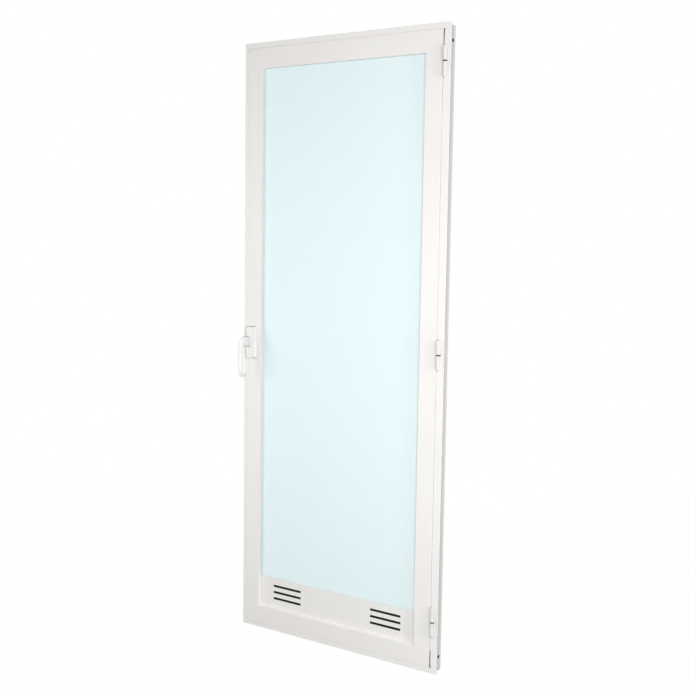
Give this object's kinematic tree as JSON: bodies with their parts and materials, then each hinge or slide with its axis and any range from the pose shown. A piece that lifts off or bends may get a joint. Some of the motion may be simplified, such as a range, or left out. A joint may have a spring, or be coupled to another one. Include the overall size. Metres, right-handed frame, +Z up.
{
  "type": "hinged door in its own frame, with a clear pane and a floor-level vent",
  "caption": "Ready-framed white hinged door with a clear pane, a slotted vent at its foot, lift-off knuckle hinges and a hanging lever on each side.",
  "frame": {"origin": "centre of the sill's underside, halfway through the depth of the frame", "axes": "+Z up, -Y is the front that the picture shows, +X is the hinge side"},
  "size_m": [0.714, 0.162, 1.818],
  "materials": {
    "white_coat": "warm white satin coat on aluminium extrusion",
    "hinge_white": "white satin coat on steel",
    "handle_white": "white moulded resin, soft gloss",
    "vent_plastic": "white moulded resin",
    "vent_dark": "dark baffle behind the slots",
    "clear_sheet": "clear sheet with a pale blue tint",
    "pale_seal": "pale grey soft seal",
    "brushed_steel": "fine brushed"
  },
  "bodies": {
    "frame": {"frame_hinge_jamb": "white_coat", "frame_lock_jamb": "white_coat", "frame_head": "white_coat", "frame_sill": "white_coat", "gasket_hinge_side": "pale_seal", "gasket_lock_side": "pale_seal", "gasket_head": "pale_seal", "gasket_sill": "pale_seal", "strike_plate": "brushed_steel", "hinge_top_frame_knuckle": "hinge_white", "hinge_middle_frame_knuckle": "hinge_white", "hinge_bottom_frame_knuckle": "hinge_white", "hinge_top_pin": "brushed_steel", "hinge_middle_pin": "brushed_steel", "hinge_bottom_pin": "brushed_steel"},
    "leaf": {"leaf_top_rail": "white_coat", "leaf_bottom_rail": "white_coat", "leaf_hinge_stile": "white_coat", "leaf_lock_stile": "white_coat", "clear_pane": "clear_sheet", "pane_gasket": "pale_seal", "bead_hinge_side": "white_coat", "bead_lock_side": "white_coat", "bead_top": "white_coat", "bead_bottom": "white_coat", "vent_front": "vent_plastic", "vent_baffle": "vent_dark", "vent_back": "vent_plastic", "hinge_top_leaf_knuckle": "hinge_white", "hinge_middle_leaf_knuckle": "hinge_white", "hinge_bottom_leaf_knuckle": "hinge_white", "handle_plate_front": "handle_white", "handle_plate_back": "handle_white", "latch_faceplate": "brushed_steel", "latch_case": "brushed_steel", "latch_bolt": "brushed_steel"},
    "lever": {"lever_front": "handle_white", "lever_back": "handle_white", "spindle": "brushed_steel"}
  },
  "joints": [
    {"name": "leaf_swing", "type": "hinge", "parent": "frame", "child": "leaf", "pos_m": [0.3428, -0.0235, 0.91], "axis": [0, 0, 1], "range_deg": [0, 170]},
    {"name": "lever_turn", "type": "hinge", "parent": "leaf", "child": "lever", "pos_m": [-0.317, -0.0055, 0.9075], "axis": [0, -1, 0], "range_deg": [0, 45]}
  ]
}
